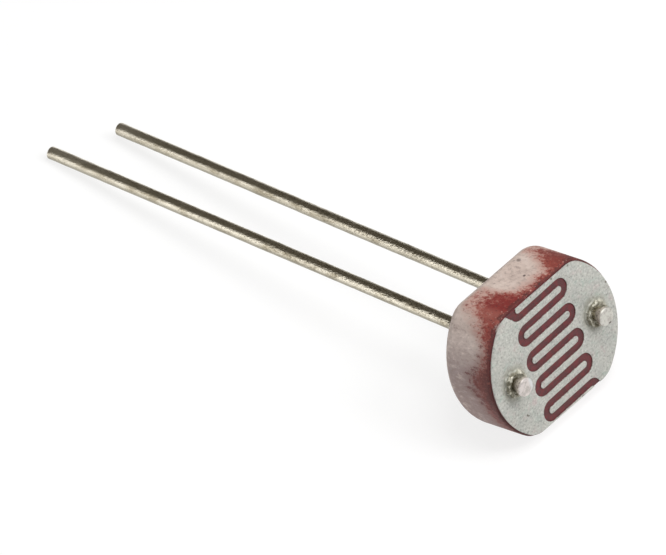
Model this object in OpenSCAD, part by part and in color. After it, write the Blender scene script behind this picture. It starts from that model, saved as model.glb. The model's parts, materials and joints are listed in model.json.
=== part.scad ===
// Light-dependent resistor: a ceramic head with a winding light-sensitive track and two wire leads.
// All lengths are in millimetres and all angles in degrees.
// The head is drawn face up, with its back on the plane z = 0 and the leads below it.
// It is then laid down the way it rests: on the back edge of its lower flat and the tip of its longer lead.

/* [Head] */

// Diameter of the ceramic head
body_d = 5.2; // [4.9:0.02:5.5]
// Distance across the two flats
flat_w = 4.2; // [3.9:0.02:4.4]
// Radius of the rounded corners between the arcs and the flats
corner_r = 0.8; // [0.65:0.05:1]
// Thickness of the ceramic alone
body_t = 1.92; // [1.6:0.02:2.4]
// Radius of the rounded edge around the back
back_r = 0.48; // [0.15:0.01:0.6]
// Radius of the rounded edge around the front
front_r = 0.06; // [0.03:0.005:0.1]
// Distance between the two lead holes
stud_pitch = 3.48; // [3.3:0.02:3.6]
// Gap around a lead inside its hole, on every side
bore_gap = 0.04; // [0.02:0.01:0.08]

/* [Film and electrodes] */

// Thickness of the light-sensitive film
film_t = 0.05; // [0.03:0.01:0.1]
// Thickness of the metal electrodes on the film
electrode_t = 0.04; // [0.03:0.01:0.08]
// Number of straight strokes in the winding track
stroke_count = 9; // [7:2:11]
// Half length of the straight part of a stroke
stroke_half = 0.785; // [0.6:0.005:0.86]
// Width of the bare track between the electrodes
track_w = 0.24; // [0.18:0.01:0.28]
// How far the printed pattern sits below the middle of the face
pattern_drop = 0.06; // [0:0.005:0.08]
// How far the track's first turn flares along the upper flat, where it runs out
flare_w = 0.13; // [0.05:0.01:0.3]
// Depth of that flare, in from the middle of the turn
flare_h = 0.11; // [0.05:0.01:0.2]
// Turn of the printed pattern on the face
pattern_turn = 1.2; // [0:0.1:2]

/* [Contacts] */

// Radius at the foot of a contact ring
toe_r = 0.46; // [0.42:0.01:0.5]
// Height of the ring's foot above the electrodes
toe_h = 0.03; // [0.02:0.01:0.06]
// Radius of the circle along which the ring's crest runs
crest_pos = 0.34; // [0.3:0.01:0.36]
// Height of the crest above the electrodes
crest_h = 0.16; // [0.12:0.01:0.2]
// Half width of the rounded crest
crest_w = 0.05; // [0.03:0.01:0.06]
// Height of the ring where it meets the lead
valley_h = 0.06; // [0.04:0.01:0.08]

/* [Leads] */

// Diameter of the lead wire
lead_d = 0.38; // [0.3:0.01:0.45]
// Diameter of the headed end on the face
head_d = 0.58; // [0.5:0.01:0.66]
// Height of the headed end
head_h = 0.15; // [0.1:0.01:0.2]
// How far the headed end stands out above the electrodes
head_out = 0.46; // [0.36:0.01:0.6]
// Radius of the rounded edges of the headed end
head_edge = 0.04; // [0.02:0.005:0.05]
// Distance between the straight runs of the two leads
lead_pitch = 1.78; // [1.5:0.02:2.54]
// How far the straight runs lie above the holes, measured at the back of the head
lead_rise = 0.515; // [0.3:0.005:0.7]
// Angle between a straight run and the axis of the head
lead_lean = 5.45; // [3:0.05:8]
// Length of the left lead from the back of the head to its tip
lead_len = 16.61; // [10:0.01:28]
// How much shorter the right lead is cut
lead_trim = 1.07; // [0:0.01:2]
// Depth behind the head where a lead turns aside
joggle_start = 0.24; // [0.22:0.01:0.32]
// Depth behind the head where a lead turns back
joggle_end = 0.88; // [0.84:0.01:1.4]
// Radius of the bends, along the middle of the wire
bend_r = 0.4; // [0.34:0.01:0.42]
// How much the wire's radius draws in at a bend
bend_thin = 0.005; // [0.003:0.001:0.02]

/* [Hidden] */

$fn = 64;

// Overshoot of a cut past the face that it opens
cut = 0.1;
// Angle by which a bend reaches into the straight wire at either end
bend_lap = 4;

body_r = body_d / 2;
half_flat = flat_w / 2;
lead_r = lead_d / 2;
head_r = head_d / 2;
bore_d = lead_d + 2 * bore_gap;

// Middle of the round on the upper right corner, which stands a little proud of the arc and the flat
// so that it crosses both of them cleanly
corner_proud = 0.003;
corner_y = half_flat - corner_r + corner_proud;
corner_x = sqrt(pow(body_r - corner_r + corner_proud, 2) - pow(corner_y, 2));

// Levels above the back of the head
film_z = body_t;
electrode_z = film_z + film_t;
face_z = electrode_z + electrode_t;
head_top = face_z + head_out;

// The strokes are spaced so that the track's first and last turns run out over the flats
turn_share = 0.02;
stroke_step = (flat_w - 2 * front_r) / (stroke_count + turn_share);
// Half width of a finger, which is the inner radius of the turn round its tip
finger_r = (stroke_step - track_w) / 2;

// Straight run of the left and the right lead
run_dir = [0, sin(lead_lean), -cos(lead_lean)];
right_len = lead_len - lead_trim;

// Lying angle: the rounded back edge of the lower flat and the rim of the longer lead's tip are at one level
tip_y = lead_rise + lead_len * sin(lead_lean);
tip_z = -lead_len * cos(lead_lean);
rest_y = tip_y + half_flat - back_r - lead_r * cos(lead_lean);
rest_z = back_r - tip_z + lead_r * sin(lead_lean);
rest_tilt = acos(-back_r / norm([rest_y, rest_z])) - atan2(rest_z, rest_y);

// Extent of the part as it lies, to put the origin under the middle of it
floor_z = (back_r - half_flat) * cos(rest_tilt) + back_r * sin(rest_tilt) - back_r;
rim_y = (front_r - half_flat) * sin(rest_tilt) - face_z * cos(rest_tilt);
stud_y = (head_edge - head_r) * sin(rest_tilt) - (head_top - head_edge) * cos(rest_tilt) - head_edge;
back_y = tip_y * sin(rest_tilt) - tip_z * cos(rest_tilt) + lead_r * sin(rest_tilt - lead_lean);
middle_y = (min(rim_y, stud_y) + back_y) / 2;

// Lays the upright part down on the plane z = 0
module lie_down() {
    translate([0, -middle_y, -floor_z])
        rotate([90 - rest_tilt, 0, 0])
            children();
}

// Repeats what is drawn at the upper right corner at all four corners
module each_corner() {
    for (x = [0, 1], y = [0, 1])
        mirror([x, 0, 0])
            mirror([0, y, 0])
                children();
}

// Wedge from the middle of a corner's round out past the corner
module corner_wedge() {
    polygon([
        [corner_x, corner_y],
        [2 * corner_x, 2 * corner_y],
        [corner_x, body_d]
    ]);
}

// Outline of the face, inside the rounded front edge: a disc with two flats and rounded corners
module face_outline() {
    difference() {
        intersection() {
            circle(r = body_r - front_r);
            square([body_d, flat_w - 2 * front_r], center = true);
        }
        each_corner()
            difference() {
                corner_wedge();
                translate([corner_x, corner_y])
                    circle(r = corner_r - front_r);
            }
    }
}

// Two round holes for the leads
module lead_holes() {
    for (side = [-1, 1])
        translate([side * stud_pitch / 2, 0])
            circle(d = bore_d);
}

// The turns of the track, counted from the upper flat, lie on the left and on the right by turns
function turn_side(i) = i % 2 == 0 ? -1 : 1;
function turn_y(i) = (stroke_count / 2 - i) * stroke_step;

// Round tips of the fingers of the comb on one side, which lie on the other side of the face
module finger_tips(side, r) {
    for (i = [0 : stroke_count])
        if (turn_side(i) == -side)
            translate([-side * stroke_half, turn_y(i)])
                circle(r = r);
}

// Straight lengths of those fingers, from their tips back past the rim
module finger_strips(side, r) {
    for (i = [0 : stroke_count])
        if (turn_side(i) == -side)
            translate([side * (body_r - stroke_half), turn_y(i)])
                square([body_d, 2 * r], center = true);
}

// Flare of the track where its first turn runs out over the upper flat
module first_flare() {
    turn_edge = -stroke_half - finger_r - track_w;
    polygon([
        [turn_edge, turn_y(0) - flare_h],
        [-stroke_half, turn_y(0) - flare_h],
        [-stroke_half, body_r],
        [turn_edge - flare_w, body_r],
        [turn_edge - flare_w, half_flat]
    ]);
}

// One comb of the interlocking pair, a track's width clear of the other
module comb(side) {
    difference() {
        translate([side * (body_d - stroke_half) / 2, 0])
            square([body_d + stroke_half, body_d], center = true);
        finger_tips(-side, finger_r + track_w);
        finger_strips(-side, finger_r + track_w);
        if (side < 0)
            first_flare();
    }
    finger_tips(side, finger_r);
}

// Outline of one electrode: its comb, cut to the face and cleared for the lead
module electrode_outline(side) {
    intersection() {
        difference() {
            face_outline();
            lead_holes();
        }
        translate([0, -pattern_drop])
            rotate(pattern_turn)
                comb(side);
    }
}

// Section of the ceramic from an axis to the rim, with its back and front edges rounded
module rim_profile(reach) {
    square([reach - back_r, body_t]);
    translate([0, back_r])
        square([reach, body_t - back_r - front_r]);
    translate([0, back_r])
        square([reach - front_r, body_t - back_r]);
    translate([reach - back_r, back_r])
        intersection() {
            circle(r = back_r);
            translate([0, -back_r])
                square(back_r);
        }
    translate([reach - front_r, body_t - front_r])
        circle(r = front_r);
}

// What is rounded off the ceramic at its upper right corner
module corner_waste() {
    difference() {
        translate([0, 0, -cut])
            linear_extrude(height = body_t + 2 * cut)
                corner_wedge();
        translate([corner_x, corner_y, 0])
            rotate_extrude()
                rim_profile(corner_r);
    }
}

// Ceramic disc with flats and rounded corners, its back and front edges rounded all the way round
module ceramic_body() {
    color("#d3c8c2")
        lie_down()
            difference() {
                intersection() {
                    rotate_extrude()
                        rim_profile(body_r);
                    rotate([90, 0, 90])
                        linear_extrude(height = body_d + cut, center = true) {
                            rim_profile(half_flat);
                            mirror([1, 0])
                                rim_profile(half_flat);
                        }
                }
                each_corner()
                    corner_waste();
                translate([0, 0, -cut])
                    linear_extrude(height = body_t + 2 * cut)
                        lead_holes();
            }
}

// Light-sensitive layer over the whole front of the ceramic
module photoconductive_film() {
    color("#6b2f33")
        lie_down()
            translate([0, 0, film_z])
                linear_extrude(height = film_t)
                    difference() {
                        face_outline();
                        lead_holes();
                    }
}

// One half of the metal film, with the fingers that reach between the strokes
module electrode(side) {
    color("#bec0bb")
        lie_down()
            translate([0, 0, electrode_z])
                linear_extrude(height = electrode_t)
                    electrode_outline(side);
}

module electrode_left() {
    electrode(-1);
}

module electrode_right() {
    electrode(1);
}

// Raised ring of conductive paste that joins a lead to its electrode
module contact(side) {
    color("#a9a698")
        lie_down()
            translate([side * stud_pitch / 2, 0, face_z])
                rotate_extrude() {
                    polygon([
                        [lead_r, 0],
                        [toe_r, 0],
                        [toe_r, toe_h],
                        [crest_pos + crest_w, crest_h - crest_w],
                        [crest_pos - crest_w, crest_h - crest_w],
                        [lead_r, valley_h]
                    ]);
                    translate([crest_pos, crest_h - crest_w])
                        circle(r = crest_w);
                }
}

module contact_left() {
    contact(-1);
}

module contact_right() {
    contact(1);
}

function unit(v) = v / norm(v);

// Half the angle between two directions
function half_bend(a, b) = acos(a * b) / 2;

// Length of wire that a bend takes up on each side of its corner
function bend_reach(a, b) = bend_r * tan(half_bend(a, b));

// Straight piece of wire from one point to another
module straight(from, to) {
    span = to - from;
    translate(from)
        rotate([0, acos(span.z / norm(span)), atan2(span.y, span.x)])
            cylinder(h = norm(span), r = lead_r);
}

// Piece of wire bent from direction a to direction b round a corner
module elbow(corner, a, b) {
    angle = 2 * half_bend(a, b);
    inward = (b - a * cos(angle)) / sin(angle);
    side = cross(a, inward);
    start = corner - a * bend_reach(a, b) + inward * bend_r;
    multmatrix([
        [-inward.x, a.x, side.x, start.x],
        [-inward.y, a.y, side.y, start.y],
        [-inward.z, a.z, side.z, start.z],
        [0, 0, 0, 1]
    ])
        rotate(-bend_lap)
            rotate_extrude(angle = angle + 2 * bend_lap)
                translate([bend_r, 0])
                    circle(r = lead_r - bend_thin);
}

// Headed end of a lead, upset from the wire, with its top at z = 0
module headed_end() {
    translate([0, 0, -head_h])
        rotate_extrude() {
            square([head_r - head_edge, head_h]);
            translate([0, head_edge])
                square([head_r, head_h - 2 * head_edge]);
            for (z = [head_edge, head_h - head_edge])
                intersection() {
                    translate([head_r - head_edge, z])
                        circle(r = head_edge);
                    square([head_r, head_h]);
                }
        }
}

// One lead: headed end on the face, straight through the ceramic, a joggle behind it and a straight run
module lead(side, length) {
    hole = [side * stud_pitch / 2, 0, 0];
    run_start = [side * lead_pitch / 2, lead_rise, 0];
    top = hole + [0, 0, head_top - head_h / 2];
    first = hole - [0, 0, joggle_start];
    second = run_start + run_dir * joggle_end / cos(lead_lean);
    tip = run_start + run_dir * length;
    down = [0, 0, -1];
    across = unit(second - first);
    color("#c4beb4")
        lie_down() {
            translate(hole + [0, 0, head_top])
                headed_end();
            straight(top, first - down * bend_reach(down, across));
            elbow(first, down, across);
            straight(
                first + across * bend_reach(down, across),
                second - across * bend_reach(across, run_dir)
            );
            elbow(second, across, run_dir);
            straight(second + run_dir * bend_reach(across, run_dir), tip);
        }
}

module lead_left() {
    lead(-1, lead_len);
}

module lead_right() {
    lead(1, right_len);
}

ceramic_body();
photoconductive_film();
electrode_left();
electrode_right();
contact_left();
contact_right();
lead_left();
lead_right();
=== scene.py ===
"""Photoresistor: a ceramic head with a winding light-sensitive track, comb electrodes and two wire leads.

Every piece is modelled in millimetres with the head's face up and its back on the plane z = 0, as on a bench,
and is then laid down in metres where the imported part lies.
"""

import json
import logging
import math
import random
from contextlib import contextmanager
from dataclasses import dataclass
from enum import Enum
from typing import Any, Callable, ClassVar, Iterator, Sequence, Union

import bmesh
import bpy
from mathutils import Matrix, Vector


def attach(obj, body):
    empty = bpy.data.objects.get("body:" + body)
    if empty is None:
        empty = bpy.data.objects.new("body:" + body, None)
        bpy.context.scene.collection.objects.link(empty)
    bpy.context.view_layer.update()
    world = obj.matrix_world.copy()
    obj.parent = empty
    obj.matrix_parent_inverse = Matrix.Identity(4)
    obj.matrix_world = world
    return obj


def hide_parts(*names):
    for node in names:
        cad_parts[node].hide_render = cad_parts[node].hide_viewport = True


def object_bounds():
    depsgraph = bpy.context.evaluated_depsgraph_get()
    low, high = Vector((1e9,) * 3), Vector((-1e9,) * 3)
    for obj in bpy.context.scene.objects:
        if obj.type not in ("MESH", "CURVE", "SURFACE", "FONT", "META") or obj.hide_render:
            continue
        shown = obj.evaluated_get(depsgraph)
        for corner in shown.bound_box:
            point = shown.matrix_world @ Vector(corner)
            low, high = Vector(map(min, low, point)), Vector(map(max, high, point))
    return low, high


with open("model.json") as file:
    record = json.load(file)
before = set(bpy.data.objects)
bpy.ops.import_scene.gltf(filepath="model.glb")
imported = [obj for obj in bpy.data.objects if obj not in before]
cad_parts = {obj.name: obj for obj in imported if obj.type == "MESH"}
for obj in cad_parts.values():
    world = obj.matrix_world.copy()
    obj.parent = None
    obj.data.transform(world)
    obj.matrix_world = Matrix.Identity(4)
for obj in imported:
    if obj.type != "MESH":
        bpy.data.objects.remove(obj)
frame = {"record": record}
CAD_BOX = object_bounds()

LOG = logging.getLogger("photoresistor")

MM = 0.001
BODY = "root"

# Facets round a lead hole, a lead and a contact ring
HOLE_FACETS = 48
WIRE_FACETS = 40
RING_FACETS = 84
# Steps along an arc of the rim, a corner of it, a half turn of the track and a bend of a lead
RIM_STEPS = 80
CORNER_STEPS = 14
TURN_STEPS = 24
BEND_STEPS = 14
# Points this close are one point, in millimetres
NEAR = 1e-4
# A face points up or down where its normal does by at least this much
FACING = 0.9

Colour = tuple[float, float, float, float]
# Colours at angles round the head, in degrees
Stops = Sequence[tuple[float, Colour]]
Mount = dict[str, Any]
Value = Union[float, "Signal"]


class Side(Enum):
    """The two sides of the face, as seen by someone who looks at it."""

    LEFT = -1
    RIGHT = 1

    @property
    def label(self) -> str:
        """The side's name in lower case, for the names of pieces."""
        return self.name.lower()


class Pick(Enum):
    """What an edit-mode selection holds."""

    FACE = "FACE"
    EDGE = "EDGE"


def paint(red: int, green: int, blue: int) -> Colour:
    """Turns a screen colour into the linear colour that a shader takes.

    Args:
        red: Red from 0 to 255.
        green: Green from 0 to 255.
        blue: Blue from 0 to 255.

    Returns:
        The linear colour with full alpha.
    """

    def linear(level: int) -> float:
        """One channel from its screen value to its linear value."""
        share = level / 255
        return share / 12.92 if share <= 0.04045 else ((share + 0.055) / 1.055) ** 2.4

    return (linear(red), linear(green), linear(blue), 1.0)


def tones(*stops: tuple[float, int, int, int]) -> Stops:
    """Lists screen colours round the head, each given as its angle, red, green and blue."""
    return tuple((degrees, paint(*levels)) for degrees, *levels in stops)


@dataclass(frozen=True)
class HeadSizes:
    """Sizes of the head, in millimetres, shared by the pieces that are built on it."""

    flat_w: float
    lead_d: float
    body_d: float = 5.2
    corner_r: float = 0.8
    body_t: float = 1.92
    back_r: float = 0.48
    front_r: float = 0.06
    stud_pitch: float = 3.48
    bore_gap: float = 0.04
    film_t: float = 0.05
    electrode_t: float = 0.04

    @classmethod
    def from_mounts(cls, mounts: dict[str, Mount]) -> "HeadSizes":
        """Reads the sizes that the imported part's mounts give.

        Args:
            mounts: The mounts by name: the flats and the wires.

        Returns:
            The sizes of this head.
        """
        across = Vector(mounts["upper_flat"]["pos_m"]) - Vector(mounts["lower_flat"]["pos_m"])
        return cls(
            flat_w=round(across.length / MM, 3),
            lead_d=2 * mounts["lead_left_wire"]["dims"]["r_mm"],
        )

    @property
    def radius(self) -> float:
        """Radius of the head."""
        return self.body_d / 2

    @property
    def half_flat(self) -> float:
        """Distance from the axis to a flat."""
        return self.flat_w / 2

    @property
    def electrode_z(self) -> float:
        """Height of the film's top, on which the electrodes lie."""
        return self.body_t + self.film_t

    @property
    def face_z(self) -> float:
        """Height of the electrodes' top."""
        return self.electrode_z + self.electrode_t

    @property
    def bore_r(self) -> float:
        """Radius of a lead hole."""
        return self.lead_d / 2 + self.bore_gap

    @property
    def corner(self) -> Vector:
        """Middle of the round on the upper right corner of the outline."""
        rise = self.half_flat - self.corner_r
        return Vector((math.sqrt((self.radius - self.corner_r) ** 2 - rise ** 2), rise))

    @property
    def arc_end(self) -> float:
        """Angle at which the right arc ends and the round of its upper corner begins."""
        return math.atan2(self.corner.y, self.corner.x)

    def stud_x(self, side: Side) -> float:
        """Place of a lead's axis across the face."""
        return side.value * self.stud_pitch / 2

    def rim(self, angle: float) -> Vector:
        """Finds a point of the outline.

        Args:
            angle: Its direction from the axis, from the right, in radians.

        Returns:
            The point.
        """
        across, up = abs(math.cos(angle)), abs(math.sin(angle))
        if math.atan2(up, across) <= self.arc_end:
            reach = self.radius
        elif self.half_flat * across <= self.corner.x * up:
            reach = self.half_flat / up
        else:
            along = self.corner.dot(Vector((across, up)))
            reach = along + math.sqrt(self.corner_r ** 2 - self.corner.length_squared + along ** 2)
        return Vector((math.cos(angle), math.sin(angle))) * reach


@dataclass(frozen=True)
class RestPose:
    """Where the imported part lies: the middle of the head's back, in metres, and its turn about X."""

    origin: Vector
    turn: float

    @classmethod
    def from_mounts(cls, mounts: dict[str, Mount], sizes: HeadSizes) -> "RestPose":
        """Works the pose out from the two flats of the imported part.

        Args:
            mounts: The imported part's mounts by name.
            sizes: The head's sizes.

        Returns:
            The pose of the head's own frame.
        """
        upper, lower = (Vector(mounts[name]["pos_m"]) for name in ("upper_flat", "lower_flat"))
        across = Vector(mounts["upper_flat"]["axis"])
        turn = math.atan2(across.z, across.y)
        front = Matrix.Rotation(turn, 3, "X") @ Vector((0, 0, 1))
        flat_middle = (sizes.body_t + sizes.back_r) / 2 * MM
        return cls(origin=(upper + lower) / 2 - front * flat_middle, turn=turn)

    def matrix(self) -> Matrix:
        """Takes a point of the upright head, in millimetres, to its place in the part, in metres."""
        turned = Matrix.Rotation(self.turn, 4, "X") @ Matrix.Scale(MM, 4)
        return Matrix.Translation(self.origin) @ turned

    def upright(self, point: Sequence[float]) -> Vector:
        """Takes a point of the part, in metres, back to the upright head, in millimetres."""
        return self.matrix().inverted() @ Vector(point)

    def upright_axis(self, axis: Sequence[float]) -> Vector:
        """Takes a direction in the part back to the upright head."""
        return Matrix.Rotation(-self.turn, 3, "X") @ Vector(axis)


class Workpiece:
    """One mesh on the bench, shaped by edit-mode operators on faces and edges picked by their place."""

    def __init__(self, name: str, obj: bpy.types.Object) -> None:
        """Takes up an object that was just made.

        Args:
            name: Name of the piece and of its mesh.
            obj: The object.
        """
        self.obj = obj
        obj.name = name
        obj.data.name = name
        self.fix_place()

    @classmethod
    def add(cls, name: str, primitive: Callable[..., Any], stretch: Sequence[float] | None = None,
            **settings: Any) -> "Workpiece":
        """Starts a piece from a primitive, with everything else deselected.

        Args:
            name: Name of the piece.
            primitive: The operator that adds it.
            stretch: Its scale on each axis, for an operator that takes none.
            **settings: What the operator is given.

        Returns:
            The new piece.
        """
        bpy.ops.object.select_all(action="DESELECT")
        primitive(**settings)
        if stretch is not None:
            bpy.context.object.scale = stretch
        return cls(name, bpy.context.object)

    @classmethod
    def cylinder(cls, name: str, radius: float, low: float, high: float, facets: int,
                 at: Sequence[float]) -> "Workpiece":
        """Starts a piece from an upright cylinder between two heights."""
        return cls.add(name, bpy.ops.mesh.primitive_cylinder_add, vertices=facets, radius=radius,
                       depth=high - low, location=(*at, (low + high) / 2))

    @classmethod
    def ball(cls, name: str, radius: float, at: Sequence[float]) -> "Workpiece":
        """Starts a piece from a ball of triangles."""
        return cls.add(name, bpy.ops.mesh.primitive_ico_sphere_add, subdivisions=2, radius=radius,
                       location=at)

    @classmethod
    def upright_edge(cls, name: str, at: Sequence[float], low: float, high: float) -> "Workpiece":
        """Starts a piece from one upright edge, to be swept along an outline.

        Args:
            name: Name of the piece.
            at: Where the edge stands.
            low: Height of its lower end.
            high: Height of its upper end.

        Returns:
            The new piece.
        """
        piece = cls.add(name, bpy.ops.mesh.primitive_plane_add, size=high - low,
                        location=(*at, (low + high) / 2), rotation=(math.pi / 2, 0, 0))
        with piece.editing():
            bpy.ops.transform.resize(value=(0, 1, 1), center_override=(*at, low))
            piece.merge()
        return piece

    @staticmethod
    def joined(pieces: Sequence["Workpiece"]) -> "Workpiece":
        """Joins pieces into the first of them.

        Args:
            pieces: The pieces.

        Returns:
            The first, which then holds them all.
        """
        pieces[0].activate()
        for piece in pieces[1:]:
            piece.obj.select_set(True)
        bpy.ops.object.join()
        return pieces[0]

    def activate(self) -> None:
        """Selects this piece alone and makes it the active one."""
        bpy.ops.object.select_all(action="DESELECT")
        self.obj.select_set(True)
        bpy.context.view_layer.objects.active = self.obj

    def fix_place(self) -> None:
        """Moves the piece's place, turn and scale into its mesh."""
        self.activate()
        bpy.ops.object.transform_apply(location=True, rotation=True, scale=True)

    @contextmanager
    def editing(self) -> Iterator[None]:
        """Holds edit mode on this piece, at first with all of it selected, while its block runs."""
        self.activate()
        bpy.ops.object.mode_set(mode="EDIT")
        bpy.ops.mesh.select_all(action="SELECT")
        try:
            yield
        finally:
            bpy.ops.object.mode_set(mode="OBJECT")

    def pick(self, kind: Pick, test: Callable[[Vector, Vector], bool]) -> None:
        """Selects faces or edges in edit mode.

        Args:
            kind: What is selected.
            test: Says whether to take a face by its middle and normal, or an edge by its two ends.
        """
        bpy.ops.mesh.select_mode(type=kind.value)
        bpy.ops.mesh.select_all(action="DESELECT")
        mesh = bmesh.from_edit_mesh(self.obj.data)
        if kind is Pick.FACE:
            taken = [f for f in mesh.faces if test(f.calc_center_median(), f.normal)]
        else:
            taken = [e for e in mesh.edges if test(e.verts[0].co, e.verts[1].co)]
        for item in taken:
            item.select_set(True)
        mesh.select_flush_mode()
        bmesh.update_edit_mesh(self.obj.data)

    def group(self, name: str, test: Callable[[Vector], bool]) -> str:
        """Gathers vertices in a named group.

        Args:
            name: Name of the group.
            test: Says whether to take a vertex by its place.

        Returns:
            The group's name.
        """
        made = self.obj.vertex_groups.new(name=name)
        made.add([v.index for v in self.obj.data.vertices if test(v.co)], 1.0, "REPLACE")
        return name

    def modify(self, kind: str, **settings: Any) -> None:
        """Adds a modifier and applies it.

        Args:
            kind: The modifier's type.
            **settings: What is set on it.
        """
        self.activate()
        made = self.obj.modifiers.new(kind.lower(), kind)
        for name, value in settings.items():
            setattr(made, name, value)
        bpy.ops.object.modifier_apply(modifier=made.name)

    def cut(self, cutter: "Workpiece") -> None:
        """Takes another piece's volume away from this one."""
        self.modify("BOOLEAN", operation="DIFFERENCE", solver="EXACT", object=cutter.obj)

    def roughen(self, depth: float, grain: float, group: str, middle: float = 0.5) -> None:
        """Moves a group of vertices in and out along their normals, as an uneven surface does.

        Args:
            depth: Full height of the unevenness.
            grain: Size of one lump.
            group: The vertices that move.
            middle: Level of the pattern that stays where it is.
        """
        pattern = bpy.data.textures.new(f"{self.obj.name}_lumps", "CLOUDS")
        pattern.noise_scale = grain
        pattern.noise_depth = 1
        self.modify("DISPLACE", texture=pattern, texture_coords="LOCAL", strength=depth,
                    mid_level=middle, vertex_group=group)
        bpy.data.textures.remove(pattern)

    def extrude(self, step: Vector) -> None:
        """Draws the selected faces out along a step, in edit mode."""
        bpy.ops.mesh.extrude_region_move(TRANSFORM_OT_translate={"value": tuple(step)})

    def spin(self, centre: Vector, axis: Vector, angle: float, steps: int) -> None:
        """Sweeps the selected faces round an axis by a right-handed angle, in edit mode."""
        # The operator itself counts the other way
        bpy.ops.mesh.spin(steps=steps, angle=-angle, center=tuple(centre), axis=tuple(axis),
                          use_auto_merge=False)

    def bevel(self, width: float, steps: int) -> None:
        """Rounds the selected edges off, in edit mode."""
        bpy.ops.mesh.bevel(offset=width, segments=steps, profile=0.5, affect="EDGES")

    def merge(self, near: float = NEAR) -> None:
        """Selects all of the piece and merges points that are near each other, in edit mode."""
        bpy.ops.mesh.select_all(action="SELECT")
        bpy.ops.mesh.remove_doubles(threshold=near)

    def tidy(self) -> None:
        """Merges doubled points and turns all faces outwards."""
        with self.editing():
            self.merge()
            bpy.ops.mesh.normals_make_consistent(inside=False)

    def discard(self) -> None:
        """Removes the piece and its mesh."""
        mesh = self.obj.data
        bpy.data.objects.remove(self.obj)
        bpy.data.meshes.remove(mesh)

    def settle(self, pose: RestPose, smooth_angle: float = 35.0) -> None:
        """Smooths the piece and lays it down where the part lies.

        Args:
            pose: The part's rest pose.
            smooth_angle: Edges blunter than this, in degrees, are shaded smooth.
        """
        self.activate()
        bpy.ops.object.shade_smooth_by_angle(angle=math.radians(smooth_angle))
        self.obj.matrix_world = pose.matrix()
        self.fix_place()
        self.obj.vertex_groups.clear()

    def enrol(self, node: str, slot: str, finish: bpy.types.Material) -> None:
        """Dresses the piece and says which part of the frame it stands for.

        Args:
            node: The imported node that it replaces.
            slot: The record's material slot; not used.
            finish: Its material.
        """
        self.obj.data.materials.clear()
        self.obj.data.materials.append(finish)
        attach(self.obj, BODY)
        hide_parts(node)
        LOG.info("%s stands for %s: %d faces", self.obj.name, node, len(self.obj.data.polygons))


def disc_with_flats(name: str, sizes: HeadSizes, low: float, high: float, inset: float = 0.0) -> Workpiece:
    """Sweeps the head's outline, two arcs and two flats with rounded corners, and closes it to a disc.

    Args:
        name: Name of the piece.
        sizes: The head's sizes.
        low: Height of its lower face.
        high: Height of its upper face.
        inset: How far its outline stays inside the head's.

    Returns:
        The disc.
    """
    corner, end, up = sizes.corner, sizes.arc_end, Vector((0, 0, 1))
    disc = Workpiece.upright_edge(name, (-corner.x, sizes.half_flat - inset), low, high)
    with disc.editing():
        for side in (1, -1):
            disc.extrude(Vector((side * 2 * corner.x, 0, 0)))
            disc.spin(Vector((side * corner.x, side * corner.y, 0)), up, end - math.pi / 2, CORNER_STEPS)
            disc.spin(Vector(), up, -2 * end, RIM_STEPS)
            disc.spin(Vector((side * corner.x, -side * corner.y, 0)), up, end - math.pi / 2, CORNER_STEPS)
        disc.merge()
        bpy.ops.mesh.fill_holes(sides=0)
    disc.tidy()
    return disc


def lead_hole_cutter(sizes: HeadSizes) -> Workpiece:
    """Makes the two pins that open the lead holes.

    Args:
        sizes: The head's sizes.

    Returns:
        Both pins as one cutter.
    """
    margin = 0.5
    low, high = -margin, sizes.face_z + margin
    return Workpiece.joined([
        Workpiece.cylinder(f"pin_{side.label}", sizes.bore_r, low, high, HOLE_FACETS, (sizes.stud_x(side), 0))
        for side in Side
    ])


class Signal:
    """An output socket with arithmetic: an expression on values adds its Math nodes."""

    def __init__(self, shader: "Shader", socket: bpy.types.NodeSocket) -> None:
        """Wraps one socket of a shader's tree."""
        self.shader = shader
        self.socket = socket

    def _math(self, operation: str, first: Value, second: Value) -> "Signal":
        """Adds one Math node on two values."""
        return self.shader.node("ShaderNodeMath", {"operation": operation}, {0: first, 1: second})

    def __add__(self, other: Value) -> "Signal":
        """Sum of two values."""
        return self._math("ADD", self, other)

    def __radd__(self, other: Value) -> "Signal":
        """Sum with a plain number first."""
        return self._math("ADD", other, self)

    def __sub__(self, other: Value) -> "Signal":
        """Difference of two values."""
        return self._math("SUBTRACT", self, other)

    def __rsub__(self, other: Value) -> "Signal":
        """Difference with a plain number first."""
        return self._math("SUBTRACT", other, self)

    def __mul__(self, other: Value) -> "Signal":
        """Product of two values."""
        return self._math("MULTIPLY", self, other)

    def __rmul__(self, other: Value) -> "Signal":
        """Product with a plain number first."""
        return self._math("MULTIPLY", other, self)

    def __truediv__(self, other: Value) -> "Signal":
        """Quotient of two values."""
        return self._math("DIVIDE", self, other)

    def at_least(self, other: Value) -> "Signal":
        """The larger of two values."""
        return self._math("MAXIMUM", self, other)

    def size(self) -> "Signal":
        """The value without its sign."""
        return self._math("ABSOLUTE", self, 0.0)

    def sign(self) -> "Signal":
        """1, 0 or -1, as the value's sign."""
        return self._math("SIGN", self, 0.0)


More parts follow.
